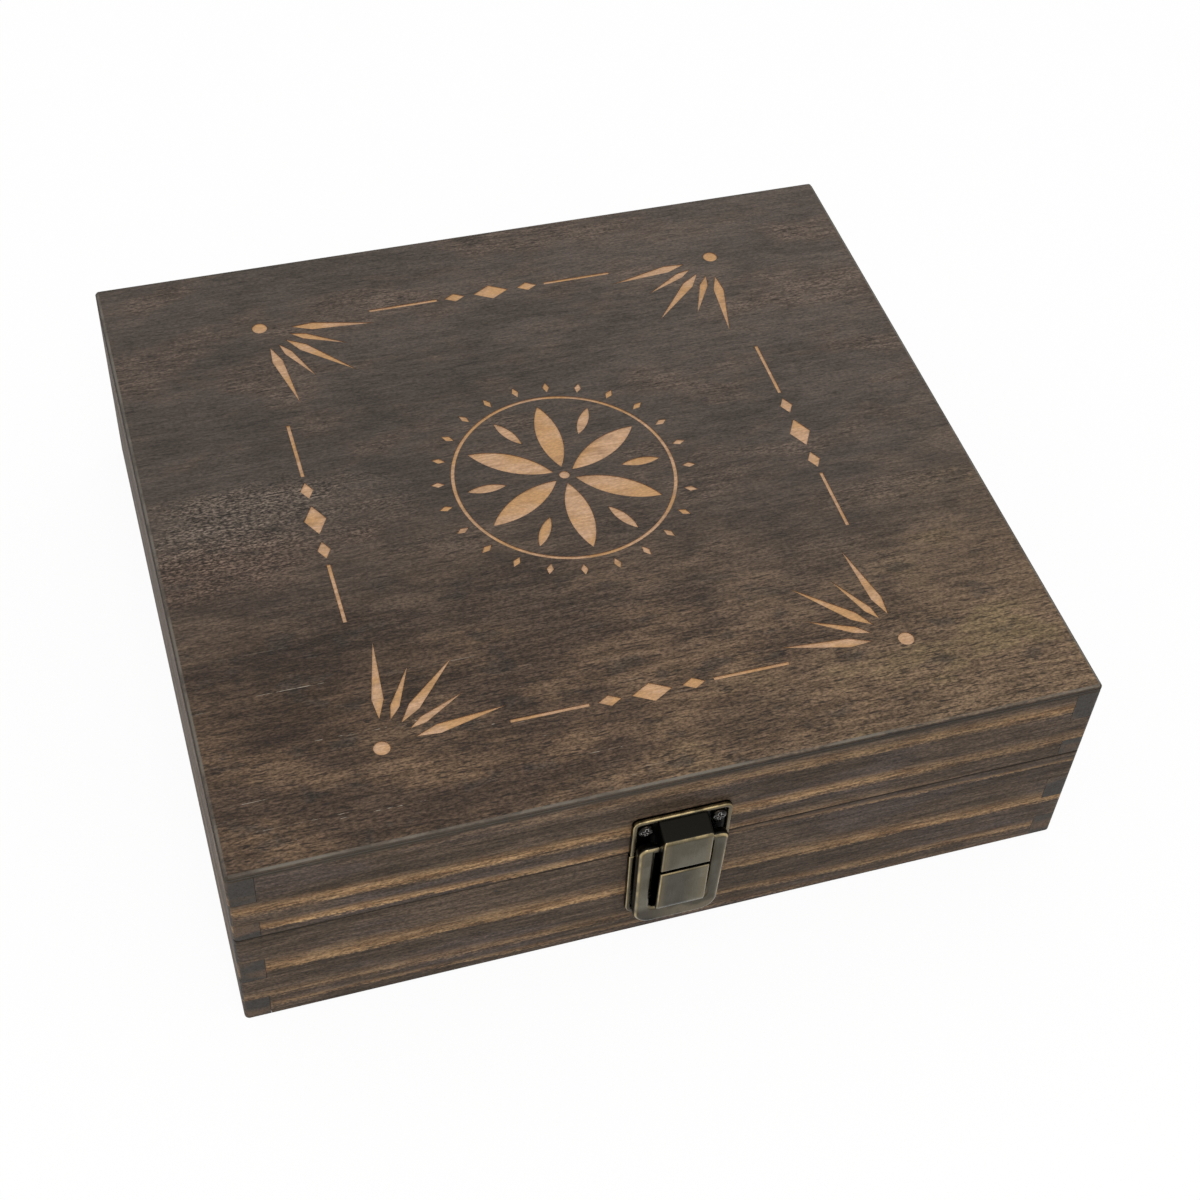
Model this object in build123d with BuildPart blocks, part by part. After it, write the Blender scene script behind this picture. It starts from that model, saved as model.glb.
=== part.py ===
from build123d import *
import os

# A finger-jointed wooden keepsake box with a hinged lid and a swing hasp on its front.
# Millimetres, +Z up, front towards -Y, origin at the centre of the underside.

# Wooden carcass
box_width = 254.0
box_depth = 238.0
wall_thickness = 7.5
base_height = 41.8
seam_gap = 0.1
lid_frame_height = 28.4
top_thickness = 2.5
bottom_thickness = 3.0
bottom_rebate = 3.5
panel_clearance = 0.1
corner_radius = 1.5
foot_edge_radius = 0.6
top_edge_radius = 0.45
seam_edge_radius = 0.5

# Finger joints: the lid's lowest finger is what the saw left of it
finger_height = 10.0
lid_first_finger = 7.2
finger_gap = 0.1
least_last_finger_share = 0.9

# Latch plates: a floor with a raised rim, one on the lid and one on the base
hasp_plate_width = 29.5
hasp_plate_height = 16.0
keeper_plate_height = 30.0
keeper_plate_width = 30.0
keeper_foot_width = 28.8
plate_floor = 0.8
plate_rim_height = 1.7
plate_rim_width = 1.5
plate_corner_radius = 2.2
recess_corner_radius = 0.9
keeper_corner_radius = 4.0
keeper_recess_radius = 2.7
rim_edge_radius = 0.55

# Hood of the hasp plate and tongue of the keeper plate
strap_width = 14.8
strap_thickness = 1.1
strap_reach = 7.9
hood_root_drop = 1.5
hood_brow_drop = 2.7
hood_overhang = 1.8
hood_cheek_foot = 2.6
strap_gap = 1.4
tongue_drop = 23.3
tongue_bend_radius = 4.0
tongue_corner_radius = 2.2
strap_edge_radius = 0.8
hood_brow_radius = 1.4

# Hasp frame, a U that swings on a pin through the hood's cheeks
hasp_frame_width = 27.0
hasp_taper = 0.7
hasp_side_clearance = 1.0
hasp_thickness = 2.8
hasp_standoff = 2.4
hasp_pivot_height = 5.2
hasp_bar_height = 7.6
hasp_clearance = 0.5
hasp_corner_radius = 5.5
hasp_shoulder_share = 0.5
hasp_window_radius = 1.5
hasp_edge_share = 0.28
hasp_pin_radius = 0.8
hasp_pin_recess = 1.8
hasp_pin_play = 0.15
boss_clearance = 0.3
boss_share = 0.44
running_clearance = 0.05

# Latch screws
latch_screw_clearance = 0.15
hasp_screw_drop = 4.6
keeper_screw_drop = 18.0
latch_screw_head_radius = 2.3
latch_screw_head_height = 1.2
latch_screw_radius = 1.2

# Hinges on the back
hinge_inset = 57.0
hinge_leaf_width = 24.0
hinge_leaf_height = 12.0
hinge_leaf_thickness = 1.0
hinge_leaf_corner = 1.5
knuckle_radius = 2.2
knuckle_clearance = 0.3
knuckle_count = 3
hinge_pin_radius = 1.0
hinge_pin_head_radius = 1.7
hinge_pin_head_height = 0.7
hinge_pin_play = 0.15
hinge_screw_pitch = 13.0
hinge_screw_height = 8.0
hinge_screw_head_radius = 1.9
hinge_screw_head_height = 0.9
hinge_screw_radius = 1.0

# What all screws share
screw_tip_cover = 1.5
screw_hole_clearance = 0.05
head_edge_share = 0.6
cross_length_share = 1.3
cross_width_share = 0.3
cross_depth_share = 0.5

# Allowance by which a cut runs past the faces it goes through
overrun = 1.0

# Largest share of a wall that the easing of one of its edges may take
edge_limit_share = 0.4

# Levels and planes that the pieces share
lid_foot = base_height + seam_gap
lid_frame_top = lid_foot + lid_frame_height
box_height = lid_frame_top + top_thickness
front_y = -box_depth / 2
back_y = box_depth / 2
inner_width = box_width - 2 * wall_thickness
inner_depth = box_depth - 2 * wall_thickness
wood_screw_depth = wall_thickness - screw_tip_cover

# Faces the front or back wall squarely: local x to the viewer's right, y up, z out of the wood
base_front_plane = Plane((0, front_y, base_height), x_dir=(1, 0, 0), z_dir=(0, -1, 0))
lid_front_plane = Plane((0, front_y, lid_foot), x_dir=(1, 0, 0), z_dir=(0, -1, 0))

# Sections through the latch: local x out of the wood, local y up
base_section_plane = Plane((0, front_y, base_height), x_dir=(0, -1, 0), z_dir=(-1, 0, 0))
lid_section_plane = Plane((0, front_y, lid_foot), x_dir=(0, -1, 0), z_dir=(-1, 0, 0))

hinge_axis_z = base_height + seam_gap / 2
hinge_axis_reach = knuckle_radius + knuckle_clearance
hinge_x = box_width / 2 - hinge_inset

os.makedirs("parts", exist_ok=True)


def save(piece, name):
    """Label a finished piece and write it as its own file."""
    piece.part.label = name
    export_step(piece.part, f"parts/{name}.step")


def finger_levels(first_finger, height):
    """Heights where one finger ends and the next begins; the last finger takes what is left."""
    levels = [0, first_finger]
    while levels[-1] + finger_height * (1 + least_last_finger_share) < height:
        levels.append(levels[-1] + finger_height)
    return levels + [height]


def screw_seats(plane, pitch, height):
    """Two places side by side where screw heads sit, on a plane that faces out of the wood."""
    return [plane * Location((side * pitch / 2, height, 0)) for side in (-1, 1)]


def pan_head_screw(head_radius, head_height, shank_radius, shank_length):
    """A cross-recess pan-head screw, its head's underside on the XY plane."""
    with BuildPart() as screw:
        with BuildSketch():
            Circle(head_radius)
        extrude(amount=head_height)
        fillet(screw.edges().group_by(Axis.Z)[-1], head_height * head_edge_share)
        with BuildSketch():
            Circle(shank_radius)
        extrude(amount=-shank_length)
        with BuildSketch(Plane.XY.offset(head_height)):
            Rectangle(head_radius * cross_length_share, head_radius * cross_width_share)
            Rectangle(head_radius * cross_width_share, head_radius * cross_length_share)
        extrude(amount=-head_height * cross_depth_share, mode=Mode.SUBTRACT)
    return screw.part


# Screw seats, shared by the screws, the plates they hold and the pilot holes in the wood
latch_screw_inset = plate_rim_width + latch_screw_head_radius + latch_screw_clearance
hasp_screw_pitch = hasp_plate_width - 2 * latch_screw_inset
keeper_screw_pitch = keeper_foot_width - 2 * latch_screw_inset
hasp_screw_height = hasp_plate_height - hasp_screw_drop
hasp_seats = screw_seats(lid_front_plane.offset(plate_floor), hasp_screw_pitch, hasp_screw_height)
keeper_seats = screw_seats(base_front_plane.offset(plate_floor), keeper_screw_pitch, -keeper_screw_drop)
hinge_planes = {
    "left": Plane((-hinge_x, back_y, hinge_axis_z), x_dir=(-1, 0, 0), z_dir=(0, 1, 0)),
    "right": Plane((hinge_x, back_y, hinge_axis_z), x_dir=(-1, 0, 0), z_dir=(0, 1, 0)),
}
hinge_base_seats = []
hinge_lid_seats = []
for plane in hinge_planes.values():
    leaf_face = plane.offset(hinge_leaf_thickness)
    hinge_base_seats += screw_seats(leaf_face, hinge_screw_pitch, -hinge_screw_height)
    hinge_lid_seats += screw_seats(leaf_face, hinge_screw_pitch, hinge_screw_height)

latch_shank_length = plate_floor + wood_screw_depth
hinge_shank_length = hinge_leaf_thickness + wood_screw_depth
latch_hole_radius = latch_screw_radius + screw_hole_clearance
hinge_hole_radius = hinge_screw_radius + screw_hole_clearance
pilot_over_depth = screw_hole_clearance


# Rounded outer shapes that the boards of the base and of the lid are trimmed to
with BuildPart() as base_envelope:
    Box(box_width, box_depth, base_height, align=(Align.CENTER, Align.CENTER, Align.MIN))
    fillet(base_envelope.edges().filter_by(Axis.Z), corner_radius)
    fillet(base_envelope.edges().group_by(Axis.Z)[0], foot_edge_radius)
    fillet(base_envelope.edges().group_by(Axis.Z)[-1], seam_edge_radius)

with BuildPart() as lid_envelope:
    with Locations((0, 0, lid_foot)):
        Box(
            box_width,
            box_depth,
            box_height - lid_foot,
            align=(Align.CENTER, Align.CENTER, Align.MIN),
        )
    fillet(lid_envelope.edges().filter_by(Axis.Z), corner_radius)
    fillet(lid_envelope.edges().group_by(Axis.Z)[-1], top_edge_radius)
    fillet(lid_envelope.edges().group_by(Axis.Z)[0], seam_edge_radius)


def board(name, facing, foot, height, levels, envelope, seats, hole_radius, shank_length):
    """One wall board. Counted from its foot, odd finger rows belong to the side boards and even
    rows to the front and back boards. The bottom panel's rebate and the pilot holes are cut too."""
    across = facing in ("front", "back")
    sign = -1 if facing in ("front", "left") else 1
    length = box_width if across else box_depth
    stand = (box_depth if across else box_width) / 2 - wall_thickness / 2
    middle = (0, sign * stand) if across else (sign * stand, 0)
    size = (length, wall_thickness) if across else (wall_thickness, length)
    notch = wall_thickness + finger_gap
    spread = 0 if across else finger_gap
    with BuildPart() as piece:
        with BuildSketch(Plane.XY.offset(foot)):
            with Locations(middle):
                Rectangle(*size)
        extrude(amount=height)
        for row, (low, high) in enumerate(zip(levels[:-1], levels[1:])):
            if (row % 2 == 0) != across:
                continue
            row_foot = foot + low - spread
            row_top = foot + high + spread
            for end in (-1, 1):
                reach = end * (length - notch) / 2
                corner = (reach, middle[1]) if across else (middle[0], reach)
                with BuildSketch(Plane.XY.offset(row_foot)):
                    with Locations(corner):
                        Rectangle(
                            notch if across else wall_thickness,
                            wall_thickness if across else notch,
                        )
                extrude(amount=row_top - row_foot, mode=Mode.SUBTRACT)
        add(envelope.part, mode=Mode.INTERSECT)
        if foot == 0:
            with BuildSketch():
                Rectangle(inner_width + 2 * bottom_rebate, inner_depth + 2 * bottom_rebate)
            extrude(amount=bottom_thickness, mode=Mode.SUBTRACT)
        if seats:
            with Locations(*seats):
                Hole(hole_radius, depth=shank_length + pilot_over_depth)
    save(piece, name)


base_levels = finger_levels(finger_height, base_height)
lid_levels = finger_levels(lid_first_finger, lid_frame_height)
wood_holes = {
    "base_front_wall": (keeper_seats, latch_hole_radius, latch_shank_length),
    "base_back_wall": (hinge_base_seats, hinge_hole_radius, hinge_shank_length),
    "lid_front_rail": (hasp_seats, latch_hole_radius, latch_shank_length),
    "lid_back_rail": (hinge_lid_seats, hinge_hole_radius, hinge_shank_length),
}
for side_name in ("front", "back", "left", "right"):
    wall_name = f"base_{side_name}_wall"
    rail_name = f"lid_{side_name}_rail"
    base_holes = wood_holes.get(wall_name, ([], 0, 0))
    lid_holes = wood_holes.get(rail_name, ([], 0, 0))
    board(wall_name, side_name, 0, base_height, base_levels, base_envelope, *base_holes)
    board(rail_name, side_name, lid_foot, lid_frame_height, lid_levels, lid_envelope, *lid_holes)

# Bottom panel, flush with the underside in the walls' rebate
with BuildPart() as bottom_panel:
    with BuildSketch():
        Rectangle(
            inner_width + 2 * (bottom_rebate - panel_clearance),
            inner_depth + 2 * (bottom_rebate - panel_clearance),
        )
    extrude(amount=bottom_thickness)
save(bottom_panel, "base_bottom_panel")

# Top panel, glued over the whole lid frame
with BuildPart() as top_panel:
    with BuildSketch(Plane.XY.offset(lid_frame_top)):
        Rectangle(box_width, box_depth)
    extrude(amount=top_thickness)
    add(lid_envelope.part, mode=Mode.INTERSECT)
save(top_panel, "lid_top_panel")

# Hasp plate on the lid: rimmed plate with a hood that carries the hasp pin in its two cheeks
hood_root_height = hasp_plate_height - hood_root_drop
hood_brow_height = hood_root_height - hood_brow_drop
hood_inner_reach = strap_reach - strap_thickness
hasp_pivot_reach = hasp_standoff + hasp_thickness / 2
rim_easing = min(rim_edge_radius, plate_rim_width * edge_limit_share)
with BuildPart() as hasp_plate:
    with BuildSketch(lid_front_plane) as hasp_outline:
        Rectangle(hasp_plate_width, hasp_plate_height, align=(Align.CENTER, Align.MIN))
        fillet(hasp_outline.vertices().group_by(Axis.Y)[-1], plate_corner_radius)
    extrude(amount=plate_rim_height)
    with BuildSketch(lid_front_plane.offset(plate_floor)) as hasp_recess:
        Rectangle(
            hasp_plate_width - 2 * plate_rim_width,
            hasp_plate_height - plate_rim_width,
            align=(Align.CENTER, Align.MIN),
        )
        fillet(hasp_recess.vertices().group_by(Axis.Y)[-1], recess_corner_radius)
    extrude(amount=plate_rim_height, mode=Mode.SUBTRACT)
    fillet(hasp_plate.faces().sort_by(Axis.Y)[0].edges(), rim_easing)
    with BuildSketch(lid_section_plane):
        with BuildLine():
            Polyline(
                (0, hood_root_height),
                (plate_floor, hood_root_height),
                (strap_reach, hood_brow_height),
                (strap_reach, -hood_overhang),
                (hood_inner_reach, -hood_overhang),
                (hood_inner_reach, hood_cheek_foot),
                (0, hood_cheek_foot),
                close=True,
            )
        make_face()
    extrude(amount=strap_width / 2, both=True)
    fillet(hasp_plate.edges().group_by(Axis.Y)[0].sort_by(Axis.Z)[-1], hood_brow_radius)
    fillet(hasp_plate.edges().group_by(Axis.Y)[0].sort_by(Axis.Z)[:-1], strap_edge_radius)
    with BuildSketch(lid_section_plane):
        with BuildLine():
            Polyline(
                (plate_floor, hood_root_height - strap_thickness),
                (hood_inner_reach, hood_brow_height - strap_thickness),
                (hood_inner_reach, hood_cheek_foot - overrun),
                (plate_floor, hood_cheek_foot - overrun),
                close=True,
            )
        make_face()
    extrude(amount=strap_width / 2 - strap_thickness, both=True, mode=Mode.SUBTRACT)
    with BuildSketch(lid_section_plane):
        with Locations((hasp_pivot_reach, hasp_pivot_height)):
            Circle(hasp_pin_radius + running_clearance)
    extrude(amount=strap_width, both=True, mode=Mode.SUBTRACT)
    with Locations(*hasp_seats):
        Hole(latch_hole_radius, depth=plate_floor + overrun)
save(hasp_plate, "hasp_plate")

# Keeper plate on the base: rimmed plate with a J-shaped tongue that the hasp frame closes round
tongue_top = seam_gap - hood_overhang - strap_gap
tongue_foot = -tongue_drop
bend_inner_radius = tongue_bend_radius - strap_thickness
bend_centre = (strap_reach - tongue_bend_radius, tongue_foot + tongue_bend_radius)
keeper_recess_foot = keeper_foot_width - 2 * plate_rim_width
rounding_x = strap_width / 2 - tongue_corner_radius
with BuildPart() as keeper_plate:
    with BuildSketch(base_front_plane) as keeper_outline:
        with BuildLine():
            Polyline(
                (-keeper_plate_width / 2, 0),
                (keeper_plate_width / 2, 0),
                (keeper_foot_width / 2, -keeper_plate_height),
                (-keeper_foot_width / 2, -keeper_plate_height),
                close=True,
            )
        make_face()
        fillet(keeper_outline.vertices().group_by(Axis.Y)[0], keeper_corner_radius)
    extrude(amount=plate_rim_height)
    with BuildSketch(base_front_plane.offset(plate_floor)) as keeper_recess:
        with BuildLine():
            Polyline(
                (-keeper_plate_width / 2 + plate_rim_width, 0),
                (keeper_plate_width / 2 - plate_rim_width, 0),
                (keeper_recess_foot / 2, plate_rim_width - keeper_plate_height),
                (-keeper_recess_foot / 2, plate_rim_width - keeper_plate_height),
                close=True,
            )
        make_face()
        fillet(keeper_recess.vertices().group_by(Axis.Y)[0], keeper_recess_radius)
    extrude(amount=plate_rim_height, mode=Mode.SUBTRACT)
    fillet(keeper_plate.faces().sort_by(Axis.Y)[0].edges(), rim_easing)
    with BuildSketch(base_section_plane):
        with BuildLine():
            Polyline(
                (bend_centre[0], tongue_foot + strap_thickness),
                (0, tongue_foot + strap_thickness),
                (0, tongue_foot),
                (bend_centre[0], tongue_foot),
            )
            CenterArc(bend_centre, tongue_bend_radius, -90, 90)
            Polyline(
                (strap_reach, bend_centre[1]),
                (strap_reach, tongue_top),
                (hood_inner_reach, tongue_top),
                (hood_inner_reach, bend_centre[1]),
            )
            CenterArc(bend_centre, bend_inner_radius, -90, 90)
        make_face()
    extrude(amount=strap_width / 2, both=True)
    tongue_edges = keeper_plate.faces().sort_by(Axis.Y)[0].edges()
    fillet(tongue_edges.sort_by(Axis.Z)[1:], strap_edge_radius)
    with BuildSketch(base_front_plane.offset(plate_rim_height)):
        for side in (-1, 1):
            with Locations((side * strap_width / 2, tongue_foot)):
                Rectangle(2 * tongue_corner_radius, 2 * tongue_corner_radius)
            with Locations((side * rounding_x, tongue_foot + tongue_corner_radius)):
                Circle(tongue_corner_radius, mode=Mode.SUBTRACT)
    extrude(amount=strap_reach, mode=Mode.SUBTRACT)
    with Locations(*keeper_seats):
        Hole(latch_hole_radius, depth=plate_floor + overrun)
save(keeper_plate, "keeper_plate")

# Hasp frame: arms with round shoulders on the pin, joined by a bar that passes under the tongue
hasp_face = hasp_standoff + hasp_thickness
hasp_window_foot = tongue_foot - hasp_clearance - seam_gap
hasp_foot = hasp_window_foot - hasp_bar_height
hasp_top = hasp_pivot_height + hasp_thickness / 2
hasp_window_width = strap_width + 2 * hasp_side_clearance
hasp_arm_width = (hasp_frame_width - hasp_window_width) / 2
hasp_foot_width = hasp_frame_width - 2 * hasp_taper
hasp_shoulder_radius = hasp_arm_width * hasp_shoulder_share
hasp_edge_radius = hasp_arm_width * hasp_edge_share
boss_reach = strap_width / 2 + boss_clearance
hasp_pin_reach = hasp_frame_width / 2 - hasp_pin_recess
with BuildPart() as hasp_frame:
    with BuildSketch(lid_front_plane.offset(hasp_standoff)) as hasp_shape:
        with BuildLine():
            Polyline(
                (-hasp_frame_width / 2, hasp_top),
                (hasp_frame_width / 2, hasp_top),
                (hasp_foot_width / 2, hasp_foot),
                (-hasp_foot_width / 2, hasp_foot),
                close=True,
            )
        make_face()
        fillet(hasp_shape.vertices().group_by(Axis.Y)[0], hasp_corner_radius)
        fillet(hasp_shape.vertices().group_by(Axis.Y)[-1], hasp_shoulder_radius)
    extrude(amount=hasp_thickness)
    with BuildSketch(lid_front_plane) as hasp_window:
        with Locations((0, hasp_window_foot)):
            Rectangle(
                hasp_window_width,
                hasp_top - hasp_window_foot + overrun,
                align=(Align.CENTER, Align.MIN),
            )
        fillet(hasp_window.vertices().group_by(Axis.Y)[0], hasp_window_radius)
    extrude(amount=hasp_face + overrun, mode=Mode.SUBTRACT)
    fillet(hasp_frame.faces().sort_by(Axis.Y)[0].edges(), hasp_edge_radius)
    for side in (-1, 1):
        with BuildSketch(lid_section_plane.offset(side * boss_reach)):
            with Locations((hasp_pivot_reach, hasp_pivot_height)):
                Circle(hasp_thickness * boss_share)
        extrude(amount=side * (hasp_frame_width / 2 - hasp_arm_width / 2 - boss_reach))
    with BuildSketch(lid_section_plane):
        with Locations((hasp_pivot_reach, hasp_pivot_height)):
            Circle(hasp_pin_radius + running_clearance)
    extrude(amount=hasp_pin_reach + hasp_pin_play, both=True, mode=Mode.SUBTRACT)
save(hasp_frame, "hasp_frame")

# Hasp pin, through the hood's cheeks and into blind bores in the frame's arms
with BuildPart() as hasp_pin:
    with BuildSketch(lid_section_plane):
        with Locations((hasp_pivot_reach, hasp_pivot_height)):
            Circle(hasp_pin_radius)
    extrude(amount=hasp_pin_reach, both=True)
save(hasp_pin, "hasp_pin")

# Screws of the latch and of the hinges
latch_screw = pan_head_screw(
    latch_screw_head_radius, latch_screw_head_height, latch_screw_radius, latch_shank_length
)
hinge_screw = pan_head_screw(
    hinge_screw_head_radius, hinge_screw_head_height, hinge_screw_radius, hinge_shank_length
)
screw_groups = {
    "hasp_plate_screws": (latch_screw, hasp_seats),
    "keeper_screws": (latch_screw, keeper_seats),
    "hinge_base_screws": (hinge_screw, hinge_base_seats),
    "hinge_lid_screws": (hinge_screw, hinge_lid_seats),
}
for group_name, (screw, seats) in screw_groups.items():
    with BuildPart() as screw_group:
        with Locations(*seats):
            add(screw)
    save(screw_group, group_name)

# Hinges: three knuckles on one pin, the outer two on the base leaf and the middle one on the lid leaf
knuckle_pitch = hinge_leaf_width / knuckle_count
knuckle_length = knuckle_pitch - knuckle_clearance
knuckle_places = [(place - (knuckle_count - 1) / 2) * knuckle_pitch for place in range(knuckle_count)]
leaf_knuckles = {"base": knuckle_places[0::2], "lid": knuckle_places[1::2]}
for side_name, plane in hinge_planes.items():
    axis_plane = Plane(plane.origin, x_dir=(0, 1, 0), z_dir=(1, 0, 0))
    for leaf_name, direction in (("base", -1), ("lid", 1)):
        leaf_face = plane.offset(hinge_leaf_thickness)
        seats = screw_seats(leaf_face, hinge_screw_pitch, direction * hinge_screw_height)
        with BuildPart() as leaf:
            with BuildSketch(plane) as leaf_outline:
                with Locations((0, direction * hinge_leaf_height / 2)):
                    Rectangle(hinge_leaf_width, hinge_leaf_height)
                outer_corners = leaf_outline.vertices().sort_by(Axis.Y)
                fillet(outer_corners[:2] if direction < 0 else outer_corners[-2:], hinge_leaf_corner)
            extrude(amount=hinge_leaf_thickness)
            other = "lid" if leaf_name == "base" else "base"
            with BuildSketch(plane):
                with Locations(*[(place, 0) for place in leaf_knuckles[other]]):
                    Rectangle(knuckle_pitch + knuckle_clearance, 2 * hinge_axis_reach)
            extrude(amount=hinge_leaf_thickness, mode=Mode.SUBTRACT)
            for place in leaf_knuckles[leaf_name]:
                with BuildSketch(axis_plane.offset(place)):
                    with Locations((hinge_axis_reach, 0)):
                        Circle(knuckle_radius)
                extrude(amount=knuckle_length / 2, both=True)
            with BuildSketch(axis_plane):
                with Locations((hinge_axis_reach, 0)):
                    Circle(hinge_pin_radius + running_clearance)
            extrude(amount=hinge_leaf_width, both=True, mode=Mode.SUBTRACT)
            with Locations(*seats):
                Hole(hinge_hole_radius, depth=hinge_leaf_thickness + overrun)
        save(leaf, f"{side_name}_hinge_{leaf_name}_leaf")
    with BuildPart() as hinge_pin:
        with BuildSketch(axis_plane):
            with Locations((hinge_axis_reach, 0)):
                Circle(hinge_pin_radius)
        extrude(amount=hinge_leaf_width / 2 + hinge_pin_play, both=True)
        for end in (-1, 1):
            with BuildSketch(axis_plane.offset(end * (hinge_leaf_width / 2 + hinge_pin_play))):
                with Locations((hinge_axis_reach, 0)):
                    Circle(hinge_pin_head_radius)
            extrude(amount=end * hinge_pin_head_height)
    save(hinge_pin, f"{side_name}_hinge_pin")
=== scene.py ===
import math

import bpy
from mathutils import Euler, Matrix, Vector


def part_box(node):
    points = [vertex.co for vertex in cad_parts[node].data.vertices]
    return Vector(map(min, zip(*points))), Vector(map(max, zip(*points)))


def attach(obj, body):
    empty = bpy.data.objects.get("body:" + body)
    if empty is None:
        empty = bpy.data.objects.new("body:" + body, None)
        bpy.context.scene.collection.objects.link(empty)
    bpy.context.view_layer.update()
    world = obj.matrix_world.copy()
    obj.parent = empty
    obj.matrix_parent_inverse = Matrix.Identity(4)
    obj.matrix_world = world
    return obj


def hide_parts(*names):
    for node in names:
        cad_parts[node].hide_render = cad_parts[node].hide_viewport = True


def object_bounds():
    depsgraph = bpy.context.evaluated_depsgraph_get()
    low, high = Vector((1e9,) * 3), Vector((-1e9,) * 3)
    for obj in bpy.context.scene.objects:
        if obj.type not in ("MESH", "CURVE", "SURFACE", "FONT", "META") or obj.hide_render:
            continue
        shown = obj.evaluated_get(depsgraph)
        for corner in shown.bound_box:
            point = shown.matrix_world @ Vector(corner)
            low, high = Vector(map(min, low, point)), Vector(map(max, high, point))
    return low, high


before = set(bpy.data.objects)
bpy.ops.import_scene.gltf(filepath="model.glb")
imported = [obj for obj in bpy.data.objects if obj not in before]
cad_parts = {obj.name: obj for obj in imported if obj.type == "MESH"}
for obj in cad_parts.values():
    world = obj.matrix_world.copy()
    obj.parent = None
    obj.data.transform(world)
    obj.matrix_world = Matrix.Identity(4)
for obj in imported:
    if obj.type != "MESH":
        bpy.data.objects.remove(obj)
cad_low, cad_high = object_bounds()


# Base walls
# Four pine boards, flat-sawn, finger-jointed and glued at the corners, then stained dark brown.
# The stain sits dark in the hard grain and leaves the soft bands tan; sawn ends drink more of it.
millimetre = 0.001


def wire(tree, kind, feeds=None, **settings):
    """Add one shader node, set it up and feed its inputs with values or with other nodes' outputs."""
    node = tree.nodes.new(kind)
    for name, value in settings.items():
        setattr(node, name, value)
    for socket, value in (feeds or {}).items():
        if isinstance(value, bpy.types.NodeSocket):
            tree.links.new(value, node.inputs[socket])
        else:
            node.inputs[socket].default_value = value
    return node


def reckon(tree, operation, first, second=0.0, clamp=False):
    """One sum between two numbers."""
    node = wire(tree, "ShaderNodeMath", {0: first, 1: second}, operation=operation, use_clamp=clamp)
    return node.outputs[0]


def times(tree, share, *others):
    """Product of shares."""
    for other in others:
        share = reckon(tree, "MULTIPLY", share, other)
    return share


def spread(tree, value, low, high, bottom=0.0, top=1.0):
    """Ease a number from one range into another."""
    feeds = {"Value": value, "From Min": low, "From Max": high, "To Min": bottom, "To Max": top}
    return wire(tree, "ShaderNodeMapRange", feeds, interpolation_type="SMOOTHSTEP").outputs["Result"]


def tint(tree, share, under, over, blend="MIX"):
    """Lay one colour over another by a share."""
    node = wire(tree, "ShaderNodeMix", {"Factor": share}, data_type="RGBA", blend_type=blend)
    for socket, value in ((6, under), (7, over)):
        if isinstance(value, bpy.types.NodeSocket):
            tree.links.new(value, node.inputs[socket])
        else:
            node.inputs[socket].default_value = value
    return node.outputs[2]


def gain(tree, colour, amount, share=1.0):
    """Brighten or darken a colour by an amount, as far as a share says."""
    return tint(tree, share, colour, amount, "MULTIPLY")


def grain(tree, place, stretch, scale, detail=3.0, roughness=0.55, shift=0.0):
    """Noise drawn out along the grain; stretch gives the share of each axis."""
    feeds = {"Vector": place, "Scale": stretch, "Location": (shift, shift, shift)}
    drawn = wire(tree, "ShaderNodeMapping", feeds)
    feeds = {
        "Vector": drawn.outputs["Vector"],
        "Scale": scale,
        "Detail": detail,
        "Roughness": roughness,
    }
    return wire(tree, "ShaderNodeTexNoise", feeds).outputs["Fac"]


def fresh_material(name):
    """An empty material with its surface shader."""
    material = bpy.data.materials.new(name)
    material.use_nodes = True
    return material, material.node_tree, material.node_tree.nodes["Principled BSDF"]


def in_millimetres(tree, coords):
    """Object coordinates as millimetres."""
    feeds = {0: coords.outputs["Object"], "Scale": 1 / millimetre}
    return wire(tree, "ShaderNodeVectorMath", feeds, operation="SCALE").outputs["Vector"]


def split(tree, vector):
    """The three axes of a vector."""
    return wire(tree, "ShaderNodeSeparateXYZ", {0: vector}).outputs


def lay_finish(tree, surface, colour, roughness, relief, strength, depth):
    """Give a surface its colour and roughness, and a relief with its strength and its depth in metres."""
    bump = wire(tree, "ShaderNodeBump", {"Height": relief, "Strength": strength, "Distance": depth})
    tree.links.new(colour, surface.inputs["Base Color"])
    tree.links.new(roughness, surface.inputs["Roughness"])
    tree.links.new(bump.outputs["Normal"], surface.inputs["Normal"])


def streak_profile(tree, level, bands, end):
    """Tan of the growth bands over their height. A band gives the height of its brightest line,
    how far it fades below and above it in millimetres, and its strength at either end."""
    tallest = 80.0
    profile = wire(tree, "ShaderNodeValToRGB", {"Fac": reckon(tree, "DIVIDE", level, tallest)})
    profile.color_ramp.interpolation = "EASE"
    stops = profile.color_ramp.elements
    for height, below, above, *strengths in sorted(bands):
        for offset, strength in ((-below, 0.0), (0.0, strengths[end]), (above, 0.0)):
            stop = stops.new(min(max((height + offset) / tallest, 0.0), 1.0))
            stop.color = (strength, strength, strength, 1)
    stops.remove(stops[0])
    stops.remove(stops[len(stops) - 1])
    return profile.outputs["Color"]


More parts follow.
